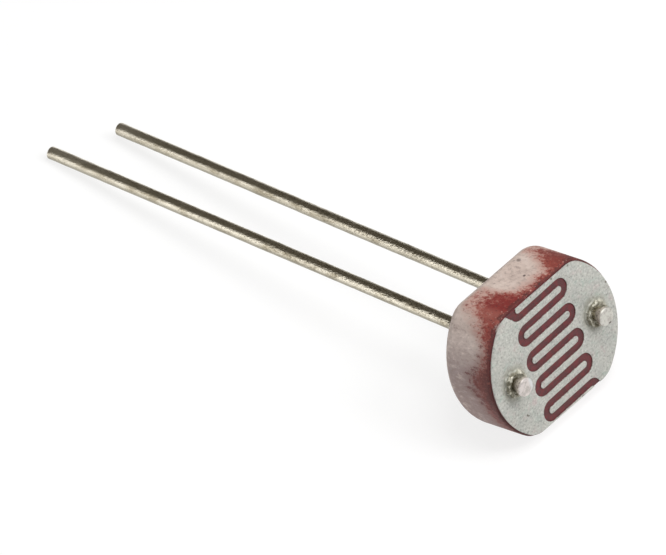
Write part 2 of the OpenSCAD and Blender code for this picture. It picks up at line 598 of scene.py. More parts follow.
class Shader:
    """Builds the nodes of one material or of the world."""

    def __init__(self, owner: Union[bpy.types.Material, bpy.types.World]) -> None:
        """Empties the owner's tree.

        Args:
            owner: The material or world.
        """
        owner.use_nodes = True
        self.tree = owner.node_tree
        self.tree.nodes.clear()

    def node(self, kind: str, settings: dict[str, Any] | None = None,
             inputs: dict[str | int, Any] | None = None, output: str | int = 0) -> Signal:
        """Adds any node.

        Args:
            kind: The node's type.
            settings: What is set on the node first; stops are those of a ramp.
            inputs: Values or signals for its sockets, by name or number.
            output: The socket that is given back.

        Returns:
            That output.
        """
        made = self.tree.nodes.new(kind)
        for name, value in (settings or {}).items():
            if name == "stops":
                self._set_stops(made.color_ramp, value)
            else:
                setattr(made, name, value)
        for name, value in (inputs or {}).items():
            socket = made.inputs[name]
            if isinstance(value, Signal):
                self.tree.links.new(value.socket, socket)
            else:
                socket.default_value = value
        return Signal(self, made.outputs[output])

    @staticmethod
    def _set_stops(ramp: bpy.types.ColorRamp, stops: Stops) -> None:
        """Gives a ramp its stops, in order."""
        while len(ramp.elements) < len(stops):
            ramp.elements.new(1.0)
        for element, (place, colour) in zip(ramp.elements, stops):
            element.position = place
            element.color = colour

    def end(self, result: Signal, kind: str) -> None:
        """Links a shader to the tree's output, a node of the kind given."""
        out = self.tree.nodes.new(kind)
        self.tree.links.new(result.socket, out.inputs["Surface"])

    def upright(self, pose: RestPose) -> Signal:
        """Gives a point's place on the upright head, in millimetres, as a vector."""
        place = self.node("ShaderNodeTexCoord", output="Object")
        return self.node(
            "ShaderNodeMapping",
            {"vector_type": "TEXTURE"},
            {"Vector": place, "Location": pose.origin, "Rotation": (pose.turn, 0, 0), "Scale": (MM, MM, MM)},
        )

    def split(self, vector: Signal) -> tuple[Signal, ...]:
        """Takes a vector apart into its three parts."""
        parts = self.node("ShaderNodeSeparateXYZ", inputs={0: vector}).socket.node.outputs
        return tuple(Signal(self, part) for part in parts)

    def stretch(self, vector: Signal, factors: Sequence[float]) -> Signal:
        """Scales a place by its own factor on each axis."""
        return self.node("ShaderNodeVectorMath", {"operation": "MULTIPLY"}, {0: vector, 1: tuple(factors)})

    def distance(self, vector: Signal, point: Sequence[float]) -> Signal:
        """Distance of a place from a point."""
        return self.node("ShaderNodeVectorMath", {"operation": "DISTANCE"}, {0: vector, 1: tuple(point)},
                         output="Value")

    def radial(self, across: Signal, up: Signal) -> Signal:
        """Distance from an axis through the face, by its two parts."""
        return self.distance(self.node("ShaderNodeCombineXYZ", inputs={0: across, 1: up}), (0, 0, 0))

    def noise(self, where: Signal, scale: float, detail: float = 2.0, rough: float = 0.5,
              twist: float = 0.0, along: float = 1.0) -> Signal:
        """Adds a cloudy pattern.

        Args:
            where: Place that the pattern is read at.
            scale: Lumps to the millimetre.
            detail: Number of finer layers.
            rough: Weight of the finer layers.
            twist: How far the pattern is warped.
            along: Its scale along the head's axis, as a share of the scale across it.

        Returns:
            A value about 0.5, from 0 to 1.
        """
        if along != 1.0:
            where = self.stretch(where, (1, 1, along))
        look = {"Scale": scale, "Detail": detail, "Roughness": rough, "Distortion": twist}
        return self.node("ShaderNodeTexNoise", inputs={"Vector": where, **look})

    def band(self, value: Value, low: float, high: float) -> Signal:
        """Rises smoothly from 0 to 1 as a value goes from low to high, or falls where low is the larger."""
        return self.node(
            "ShaderNodeMapRange",
            {"interpolation_type": "SMOOTHSTEP", "clamp": True},
            {"Value": value, "From Min": low, "From Max": high},
        )

    def blend(self, share: Value, under: Union[Colour, Signal], over: Union[Colour, Signal]) -> Signal:
        """Lays one colour over another, by the share of the upper one that shows."""
        return self.node("ShaderNodeMix", {"data_type": "RGBA"}, {0: share, 6: under, 7: over}, output=2)

    def layers(self, ground: Union[Colour, Signal], *coats: tuple[Value, Union[Colour, Signal]]) -> Signal:
        """Lays colours over one another in order.

        Args:
            ground: The lowest colour.
            *coats: The share of each further colour that shows, and the colour.

        Returns:
            The mixed colour.
        """
        for share, over in coats:
            ground = self.blend(share, ground, over)
        return ground

    def spots(self, where: Signal, marks: Sequence["Mark"], fray: float = 1.0) -> Signal:
        """Gathers small marks at given places.

        Args:
            where: Place on the upright head.
            marks: The marks.
            fray: How ragged their edges are.

        Returns:
            1 inside a mark and 0 outside.
        """
        ragged = self.noise(where, 30.0)
        total: Value = 0.0
        for mark in marks:
            squeeze = (1, 1, 1 / mark.tall)
            middle = [c * k for c, k in zip(mark.at, squeeze)]
            gap = self.distance(self.stretch(where, squeeze), middle) + (ragged - 0.5) * mark.radius * fray
            spot = self.band(gap, mark.radius, mark.radius * mark.core) * mark.strength
            total = spot if isinstance(total, float) else total.at_least(spot)
        return total

    def surface(self, colour: Signal, rough: Value, height: Signal, depth: float, metal: Value = 0.0,
                gloss: float = 0.5) -> None:
        """Ends a material with its shader.

        Args:
            colour: Its colour.
            rough: Its roughness.
            height: Pattern of the fine relief.
            depth: Height of that relief, in millimetres.
            metal: How metallic it is.
            gloss: Level of the plain reflection where it isn't metallic.
        """
        bump = {"Height": height, "Distance": depth * MM, "Strength": 1.0}
        relief = self.node("ShaderNodeBump", inputs=bump)
        sockets = {"Base Color": colour, "Roughness": rough, "Metallic": metal, "Specular IOR Level": gloss}
        shader = self.node("ShaderNodeBsdfPrincipled", inputs={**sockets, "Normal": relief})
        self.end(shader, "ShaderNodeOutputMaterial")


@dataclass(frozen=True)
class Mark:
    """A small stain or pit at a place of the upright head, in millimetres."""

    at: tuple[float, float, float]
    radius: float
    strength: float = 1.0
    # Its height along the head's axis, as a share of its width
    tall: float = 1.0
    # Share of its radius inside which it is at its full strength
    core: float = 0.35


@dataclass(frozen=True)
class Finish:
    """A finish of the part: its name, the frame that its patterns are laid out in and the head's sizes."""

    title: ClassVar[str]
    # Height of the fine relief, in millimetres
    relief: ClassVar[float]

    pose: RestPose
    sizes: HeadSizes

    def make(self) -> bpy.types.Material:
        """Builds the material.

        Returns:
            The material.
        """
        material = bpy.data.materials.new(self.title)
        shader = Shader(material)
        self.lay(shader, shader.upright(self.pose))
        return material

    def lay(self, shader: Shader, where: Signal) -> None:
        """Lays the finish out over the upright head, each finish in its own way.

        Args:
            shader: The material's tree.
            where: The place on the upright head.
        """
        raise NotImplementedError


@dataclass(frozen=True)
class CeramicFinish(Finish):
    """Bare pressed ceramic, dusted with red film that thins out down from the face."""

    title = "bare_ceramic"
    relief = 0.012

    brick: Colour = paint(156, 82, 70)
    fringe: Colour = paint(84, 42, 40)
    speck: Colour = paint(92, 44, 43)
    dash: Colour = paint(108, 60, 58)
    grime: Colour = paint(150, 131, 124)
    chalk: Colour = paint(228, 214, 206)
    pit: Colour = paint(58, 46, 44)
    worn: Colour = paint(200, 190, 182)
    flake: Colour = paint(214, 172, 160)
    ember: Colour = paint(164, 74, 60)
    back: Colour = paint(208, 194, 186)
    # Bare ceramic, thin dust and dense dust at angles round the head, in degrees; bare ceramic and thin dust
    # darken round the left and lower arcs, about 145 to 250 degrees, a painted shade over their own tone
    bare: Stops = tones(
        (0, 200, 184, 175), (62, 212, 193, 183), (100, 212, 194, 184), (128, 204, 188, 179),
        (145, 196, 181, 174), (165, 166, 150, 147), (205, 158, 138, 135), (240, 162, 138, 134),
        (275, 204, 186, 176),
    )
    thin: Stops = tones(
        (0, 186, 142, 130), (118, 188, 142, 130), (140, 168, 128, 118), (165, 130, 100, 96),
        (210, 134, 106, 102), (250, 160, 124, 116),
    )
    dense: Stops = tones(
        (0, 104, 74, 70), (42, 84, 56, 55), (50, 108, 52, 49), (62, 136, 62, 54), (104, 127, 43, 41),
        (118, 122, 40, 38), (122, 144, 78, 70), (127, 142, 78, 70), (132, 128, 56, 51), (142, 124, 54, 50),
        (158, 104, 58, 55), (185, 98, 62, 60), (208, 112, 80, 77), (226, 106, 74, 71), (242, 122, 100, 95),
        (275, 126, 60, 54), (300, 128, 54, 48), (330, 116, 66, 60),
    )
    # Furthest reach of the dust down the wall, and its reach at angles round the head, in millimetres
    reach_max: float = 2.0
    reach: tuple[tuple[float, float], ...] = (
        (0, 0.2), (30, 0.24), (46, 0.8), (53, 1.3), (57, 1.65), (61, 1.0), (64, 0.66), (68, 0.38), (72, 0.29),
        (90, 0.29), (98, 0.38), (102, 0.6), (105, 1.0), (109, 1.3), (118, 1.35), (124, 1.08), (130, 0.74),
        (138, 0.5), (144, 0.32), (152, 0.27), (158, 0.36), (164, 0.6), (174, 0.58), (184, 0.5), (198, 0.44),
        (226, 0.5), (240, 0.2), (280, 0.2), (292, 0.8), (302, 0.9), (316, 0.35),
    )
    # Dark dashes of dust as angle, depth below the face, half width and height to width
    dashes: tuple[tuple[float, float, float, float], ...] = (
        (176, 0.95, 0.045, 3.2), (165.5, 0.86, 0.04, 4.0), (171, 0.64, 0.12, 0.5), (180.5, 0.66, 0.07, 1.4),
        (174, 0.46, 0.06, 2.4), (168, 0.5, 0.06, 2.4), (160, 0.58, 0.045, 2.2), (145.5, 0.44, 0.05, 1.5),
        (183, 0.48, 0.06, 2.0), (190, 0.42, 0.05, 2.0), (166, 0.66, 0.09, 0.6), (170.5, 0.86, 0.1, 0.35),
        (177, 0.76, 0.06, 1.8), (186, 0.62, 0.06, 1.2), (152, 0.5, 0.04, 2.0), (162, 0.7, 0.04, 2.6),
    )
    dash_spread: float = 1.3
    dash_strength: float = 0.75
    dash_fray: float = 3.0
    marks: tuple[Mark, ...] = (
        Mark((0.35, 2.1, 1.22), 0.055),
        Mark((0.84, 2.1, 0.56), 0.1, 0.55),
        Mark((0.76, 2.08, 0.44), 0.06, 0.4),
    )
    worn_marks: tuple[Mark, ...] = (Mark((-1.72, 2.0, 2.04), 0.19, 0.9),)

    def dash_marks(self) -> list[Mark]:
        """Places the dashes on the wall.

        Returns:
            The dashes as marks.
        """
        made = []
        for degrees, depth, radius, tall in self.dashes:
            x, y = self.sizes.rim(math.radians(degrees))
            place = (x, y, self.sizes.face_z - depth)
            made.append(Mark(place, radius * self.dash_spread, self.dash_strength, tall))
        return made

    def lay(self, shader: Shader, where: Signal) -> None:
        """Lays dust, dashes, specks, grit and worn spots over the bare ceramic."""
        x, y, z = shader.split(where)
        turn = shader.node("ShaderNodeMath", {"operation": "ARCTAN2"}, {0: y, 1: x}) / math.tau
        around = shader.node("ShaderNodeMath", {"operation": "FRACT"}, {0: turn + 1.0})

        def ring(stops: Stops) -> Signal:
            """Spreads colours round the head."""
            closed = [(degrees / 360, colour) for degrees, colour in (*stops, (360, stops[0][1]))]
            return shader.node("ShaderNodeValToRGB", {"stops": closed}, {"Fac": around})

        shares = [(degrees, (reach / self.reach_max,) * 3 + (1.0,)) for degrees, reach in self.reach]
        reach = ring(shares) * self.reach_max
        depth = self.sizes.face_z - z
        coarse = shader.noise(where, 3.2, along=0.6)
        streak = shader.noise(where, 11.0, 3.0, 0.6, along=0.2)
        dapple = shader.noise(where, 8.0, 4.0, 0.75, along=0.8)
        drawn = shader.noise(where, 6.0, 4.0, 0.7, 0.4, along=0.25)
        fine = shader.noise(where, 24.0, 2.0, 0.6)
        grain = streak * 0.2 + dapple * 0.8 - 0.5
        rubbed = drawn * 0.4 + dapple * 0.6
        # The back is plain
        rear = shader.band(z, 0.42, 0.06)
        level = (reach - depth) / (reach * 0.5 + 0.12) + 0.5 + (coarse - 0.5) * 1.2 - rear * 4
        faint = shader.band(level - grain * 3.4, -1.3, 0.7)
        mid = shader.band(level - grain * 4.4 - (fine - 0.5) * 1.2, 0.1, 0.95)
        deep = shader.band(level - grain * 4.8 - (fine - 0.5) * 2.0, 0.6, 1.5)
        cloud = shader.band(shader.noise(where, 2.1, 3.0, 0.6), 0.45, 0.75)
        glow = shader.band(shader.noise(where, 10.0, 3.0, 0.7), 0.52, 0.68) * shader.band(y, 1.4, 1.8)
        specks = shader.band(shader.noise(where, 17.0, 2.0, 0.6, along=0.5), 0.58, 0.68)
        edge = shader.band(depth + (dapple - 0.5) * 0.5 + (coarse - 0.5) * 0.4, 0.19, 0.1)
        flakes = shader.band(shader.noise(where, 12.0, 2.0, 0.6), 0.62, 0.7) * shader.band(depth, 0.34, 0.2)
        grit = shader.band(shader.noise(where, 15.0, 2.0, 0.6, 0.3), 0.57, 0.66)
        dense = ring(self.dense)
        # The bare and thin-dust tones carry the painted shade of the left and lower arcs
        colour = shader.layers(
            shader.blend(rear, ring(self.bare), self.back),
            (cloud * 0.2, self.grime),
            (shader.band(rubbed, 0.5, 0.66) * 0.7, self.grime),
            (shader.band(rubbed, 0.5, 0.36) * 0.55, self.chalk),
            (faint * 0.85, ring(self.thin)),
            (mid * 0.85, shader.blend(0.5, self.brick, dense)),
            (deep * 0.93, dense),
            (deep * glow * 0.5, self.ember),
            (specks * (0.16 + faint * 0.48), self.speck),
            (shader.spots(where, self.dash_marks(), self.dash_fray), self.dash),
            (edge * 0.75, self.fringe),
            (flakes * shader.band(y, 1.7, 1.95) * 0.6, self.flake),
            (grit * shader.band(depth, 0.36, 0.14) * 0.7, self.pit),
            (shader.spots(where, self.worn_marks), self.worn),
            (shader.spots(where, self.marks), self.pit),
        )
        height = fine * 0.6 + shader.noise(where, 55.0) * 0.4
        shader.surface(colour, 0.62 + fine * 0.2, height, self.relief, gloss=0.35)


@dataclass(frozen=True)
class FilmFinish(Finish):
    """Matte red-brown light-sensitive film, with a fine grain and darker patches."""

    title = "light_film"
    relief = 0.01

    base: Colour = paint(92, 51, 53)
    bright: Colour = paint(110, 48, 51)
    shade: Colour = paint(74, 39, 40)
    stain: Colour = paint(52, 26, 26)
    worn: Colour = paint(188, 176, 170)
    marks: tuple[Mark, ...] = (
        Mark((-0.375, 0.0, 1.97), 0.06),
        Mark((-0.75, 0.01, 1.97), 0.08, 0.8),
        Mark((0.55, 0.475, 1.97), 0.045, 0.6),
        Mark((0.4, -1.98, 1.97), 0.06, 0.8),
    )
    worn_marks: tuple[Mark, ...] = (Mark((-1.72, 2.0, 2.0), 0.24, 0.9),)

    def lay(self, shader: Shader, where: Signal) -> None:
        """Lays brighter and darker grain, stains and a worn spot over the film."""
        mottle = shader.noise(where, 6.0, 3.0, 0.6)
        grain = shader.noise(where, 32.0, 2.0, 0.6)
        colour = shader.layers(
            self.base,
            (shader.band(mottle, 0.44, 0.6), self.bright),
            (shader.band(grain + (0.5 - mottle) * 0.5, 0.48, 0.7) * 0.7, self.shade),
            (shader.spots(where, self.marks), self.stain),
            (shader.spots(where, self.worn_marks), self.worn),
        )
        shader.surface(colour, 0.5 + grain * 0.25, grain, self.relief, gloss=0.4)


@dataclass(frozen=True)
class ElectrodeFinish(Finish):
    """Matte, sandy metal film with faint tints, stains near the contacts and dark red walls along the track,
    a painted shade.
    """

    title = "electrode_metal"
    relief = 0.012

    silver: Colour = paint(180, 181, 175)
    light: Colour = paint(189, 189, 182)
    rosy: Colour = paint(192, 175, 173)
    mint: Colour = paint(168, 186, 175)
    grey: Colour = paint(128, 128, 122)
    pale: Colour = paint(212, 212, 206)
    olive: Colour = paint(156, 153, 136)
    # Dark red like the film: painted shade on the walls along the track
    edge: Colour = paint(98, 58, 57)
    stain: Colour = paint(84, 76, 62)
    marks: tuple[Mark, ...] = (
        Mark((-1.65, -1.2, 2.01), 0.045, 0.85),
        Mark((-1.61, -1.25, 2.01), 0.04, 0.85),
        Mark((2.43, 0.62, 2.01), 0.05, 0.8),
        Mark((0.62, 2.02, 2.01), 0.05, 0.8),
        Mark((-0.28, 2.02, 2.01), 0.04, 0.7),
        Mark((1.32, 2.0, 2.01), 0.05, 0.7),
        Mark((0.42, -2.03, 2.01), 0.05, 0.8),
    )
    rosy_marks: tuple[Mark, ...] = (Mark((-1.25, -1.0, 2.01), 0.16, 0.8),)

    def lay(self, shader: Shader, where: Signal) -> None:
        """Lays tints, grain and stains over the metal, and a painted shade in dark red on its walls along the
        track.
        """
        x, y, z = shader.split(where)
        mottle = shader.noise(where, 2.6, 3.0, 0.55)
        tint = shader.noise(where, 3.4, 3.0, 0.6, 0.6, along=0.0)
        grain = shader.noise(where, 14.0, 4.0, 0.75)
        gap = shader.radial(x.size() - self.sizes.stud_pitch / 2, y) + (mottle - 0.5) * 0.3
        # The walls along the track, and not those at the rim and the flats, take the painted shade
        rim = self.sizes.radius - self.sizes.front_r
        flat = self.sizes.half_flat - self.sizes.front_r
        inside = shader.band(shader.radial(x, y), rim - 0.1, rim - 0.16)
        inside = inside * shader.band(y.size(), flat - 0.01, flat - 0.02)
        wall = shader.band(z, self.sizes.face_z - 0.006, self.sizes.face_z - 0.016)
        colour = shader.layers(
            self.silver,
            (shader.band(mottle, 0.35, 0.65), self.light),
            (shader.band(tint, 0.55, 0.72) * 0.6, self.rosy),
            (shader.band(tint, 0.45, 0.28) * 0.6, self.mint),
            (shader.spots(where, self.rosy_marks), self.rosy),
            (shader.band(grain, 0.5, 0.72) * 0.9, self.grey),
            (shader.band(grain, 0.5, 0.3) * 0.85, self.pale),
            (shader.band(gap, 0.62, 0.42) * 0.5, self.olive),
            (shader.spots(where, self.marks), self.stain),
            (wall * inside * (0.6 + 0.4 * shader.band(grain, 0.4, 0.55)), self.edge),
        )
        shader.surface(colour, 0.46 + grain * 0.22, grain, self.relief, metal=0.25 * (1 - wall))


@dataclass(frozen=True)
class PasteFinish(Finish):
    """Rough conductive paste, bright on its crests, dark in its hollows and thin at its foot; the bright
    crests are partly a painted highlight and the hollows carry a painted shade on each ring's left flank.
    """

    title = "contact_paste"
    relief = 0.03

    # The crest colour is partly a painted highlight; the hollow colour is dark hollows and, on the left
    # flank, a painted shade
    crest: Colour = paint(206, 203, 188)
    base: Colour = paint(160, 157, 140)
    hollow: Colour = paint(98, 93, 75)
    foot: Colour = paint(176, 176, 167)

    def lay(self, shader: Shader, where: Signal) -> None:
        """Lays crests, partly a painted highlight, hollows with a painted shade on the left flank, and a thin
        foot over the paste.
        """
        x, y, z = shader.split(where)
        lump = shader.noise(where, 8.0, 3.0, 0.6, 0.4)
        grain = shader.noise(where, 34.0, 2.0, 0.6)
        across = x - x.sign() * (self.sizes.stud_pitch / 2)
        height = z - self.sizes.face_z
        # Each ring's left flank, where the hollows darken further as a painted shade
        shaded = shader.band(across - y * 0.3, 0.12, -0.3)
        dark = shader.band(lump + (grain - 0.5) * 0.5 - shaded * 0.12, 0.5, 0.36)
        thin = shader.band(height + (lump - 0.5) * 0.06, 0.09, 0.02)
        thin = thin * shader.band(shader.radial(across, y), 0.3, 0.36)
        glint = shader.band(height, 0.1, 0.16)
        colour = shader.layers(
            self.base,
            (shader.band(lump, 0.42, 0.62), self.crest),
            (dark * (0.3 + 0.55 * shaded), self.hollow),
            (thin * 0.85, self.foot),
        )
        rough = 0.48 - 0.16 * glint + grain * 0.16
        shader.surface(colour, rough, lump * 0.7 + grain * 0.3, self.relief, metal=0.25 + 0.3 * glint)


@dataclass(frozen=True)
class WireFinish(Finish):
    """Tinned wire with fine scratches along it, dull patches and a paler, matte head."""

    title = "tinned_wire"
    relief = 0.022

    # A point of the left lead's straight run, and its direction
    line: tuple[Vector, Vector]
    # How far the heads stand out of the face
    head_out: float
    bright: Colour = paint(228, 221, 204)
    dull: Colour = paint(196, 187, 166)
    scratch: Colour = paint(100, 88, 68)
    # Painted reflection of the shaded floor on the wire's lower side
    under: Colour = paint(142, 136, 120)
    # Front of the left head and of the right one
    heads: tuple[Colour, Colour] = (paint(222, 214, 210), paint(212, 210, 202))
    head_dull: Colour = paint(178, 171, 164)
    # Bluish white towards the right edge of the left head's front
    frost: Colour = paint(226, 229, 229)
    flank: Colour = paint(196, 187, 175)
    crease: Colour = paint(88, 75, 64)
    creases: tuple[Mark, ...] = (Mark((1.8, -0.26, 2.44), 0.085),)

    def lay(self, shader: Shader, where: Signal) -> None:
        """Lays dull patches and scratches over the tin, and the heads' own colours over their ends."""
        x, y, z = shader.split(where)
        lines = shader.noise(where, 20.0, 3.0, 0.65, along=0.1)
        patch = shader.noise(where, 4.5, 3.0, 0.6, along=0.35)
        grain = shader.noise(where, 26.0, 2.0, 0.6, along=0.5)
        lumps = shader.noise(where, 11.0, 3.0, 0.7, 0.5)
        on_face = shader.band(z, self.sizes.face_z + 0.1, self.sizes.face_z + 0.25)
        # The wire is smoother and softer towards its tips
        far = shader.band(z, -4.0, -12.0)
        scratched = shader.band(grain + (patch - 0.5) * 0.5, 0.5, 0.68) * (0.65 - far * 0.4)
        # The wire's lower, floor-facing side is darker: a painted reflection of the shaded floor
        point, run = self.line
        across = x - x.sign() * abs(point.x)
        lift = y - point.y - (z - point.z) * (run.y / run.z)
        floor_reflection_shade = (across * 0.75 + lift * 0.66) * (-2 / self.sizes.lead_d) + (grain - 0.5) * 0.3
        top = self.sizes.face_z + self.head_out
        behind = shader.band(z + (lumps - 0.5) * 0.05, top - 0.03, top - 0.05)
        # The left head's front turns bluish white towards its right edge
        bluish_edge = shader.band(x + (lumps - 0.5) * 0.1, -1.64, -1.52) * shader.band(x, 0.1, -0.1)
        left_head, right_head = self.heads
        knob = shader.layers(
            left_head,
            (shader.band(x, -0.1, 0.1), right_head),
            (shader.band(lumps + (patch - 0.5) * 0.8, 0.46, 0.66) * 0.7, self.head_dull),
            (bluish_edge * 0.8, self.frost),
            (behind, shader.blend(shader.band(lumps, 0.48, 0.62) * 0.75, self.flank, self.crease)),
        )
        colour = shader.layers(
            self.bright,
            (shader.band(patch, 0.4, 0.68), self.dull),
            (scratched, self.scratch),
            (shader.band(floor_reflection_shade, 0.45, 0.8) * 0.75, self.under),
            (on_face, knob),
            (shader.spots(where, self.creases), self.crease),
        )
        rough = 0.23 + shader.band(patch, 0.4, 0.7) * 0.1 + shader.band(lines, 0.5, 0.75) * 0.14
        rough = rough + on_face * 0.2 + far * 0.05
        metal = 1 - on_face * (0.2 + 0.5 * behind) - shader.band(z, -13.0, -16.0) * 0.08
        height = (lines * 0.35 + grain * 0.65) * (1 - far * 0.6)
        shader.surface(colour, rough, height, self.relief, metal)


@dataclass
class EdgeNicks:
    """Small chips along the front edge of the head, cut through the layers they meet."""

    sizes: HeadSizes
    seed: int = 11
    count: int = 46
    smallest: float = 0.018
    largest: float = 0.055
    # Ranges of the draws: a chip's place in its share of the rim, the share of its radius that is kept, and
    # how far its middle lies outside the rim and above the face, in radii
    place: tuple[float, float] = (0.1, 0.9)
    shrink: tuple[float, float] = (0.6, 1.0)
    outside: tuple[float, float] = (0.35, 0.75)
    above: tuple[float, float] = (-0.6, 0.3)
    # How far its points are moved at random, in radii
    jitter: float = 0.3

    def edge_points(self) -> list[Vector]:
        """Draws the places of the chips.

        Returns:
            Points on the outline of the face.
        """
        draw = random.Random(self.seed)
        angles = [math.tau * (k + draw.uniform(*self.place)) / self.count for k in range(self.count)]
        return [self.sizes.rim(angle) for angle in angles]

    def cutter(self) -> Workpiece:
        """Models the chips as one cutter of ragged balls.

        Returns:
            The cutter.
        """
        draw = random.Random(self.seed + 1)
        balls = []
        for number, point in enumerate(self.edge_points()):
            radius = draw.uniform(self.smallest, self.largest) * draw.uniform(*self.shrink)
            middle = point * (1 + radius * draw.uniform(*self.outside) / point.length)
            height = self.sizes.face_z + radius * draw.uniform(*self.above)
            ball = Workpiece.ball(f"nick_{number}", radius, (middle.x, middle.y, height))
            with ball.editing():
                bpy.ops.transform.vertex_random(offset=radius * self.jitter, seed=self.seed + number)
            balls.append(ball)
        return Workpiece.joined(balls)


@dataclass
class HeadPiece:
    """What each sub-assembly knows: the head's sizes and where the part lies."""

    sizes: HeadSizes
    pose: RestPose


@dataclass
class CeramicBody(HeadPiece):
    """The pressed ceramic disc: two flats, a rounded back edge, two lead holes and a small pit."""

    round_steps: int = 12
    edge_steps: int = 4
    pit_at: tuple[float, float, float] = (0.35, 2.12, 1.22)
    pit_r: float = 0.05

    def build(self, holes: Workpiece, nicks: Workpiece) -> Workpiece:
        """Models the disc.

        Args:
            holes: Cutter for the lead holes.
            nicks: Cutter for the chips of the front edge.

        Returns:
            The disc, laid down.
        """
        disc = disc_with_flats("ceramic_disc", self.sizes, 0.0, self.sizes.body_t)
        top = self.sizes.body_t - NEAR
        with disc.editing():
            disc.pick(Pick.EDGE, lambda a, b: a.z < NEAR and b.z < NEAR)
            disc.bevel(self.sizes.back_r, self.round_steps)
            disc.pick(Pick.EDGE, lambda a, b: a.z > top and b.z > top)
            disc.bevel(self.sizes.front_r, self.edge_steps)
        disc.cut(holes)
        pit = Workpiece.ball("pit", self.pit_r, self.pit_at)
        disc.cut(pit)
        pit.discard()
        disc.cut(nicks)
        disc.settle(self.pose)
        return disc

    def dress(self, disc: Workpiece) -> None:
        """Gives the disc its finish."""
        disc.enrol("ceramic_body", "ceramic", CeramicFinish(self.pose, self.sizes).make())


@dataclass
class LightFilm(HeadPiece):
    """The light-sensitive layer over the front of the ceramic."""

    def build(self, holes: Workpiece, nicks: Workpiece) -> Workpiece:
        """Models the layer.

        Args:
            holes: Cutter for the lead holes.
            nicks: Cutter for the chips of the front edge.

        Returns:
            The layer, laid down.
        """
        layer = disc_with_flats("light_film", self.sizes, self.sizes.body_t, self.sizes.electrode_z,
                                self.sizes.front_r)
        layer.cut(holes)
        layer.cut(nicks)
        layer.settle(self.pose)
        return layer

    def dress(self, layer: Workpiece) -> None:
        """Gives the layer its finish."""
        layer.enrol("photoconductive_film", "film", FilmFinish(self.pose, self.sizes).make())


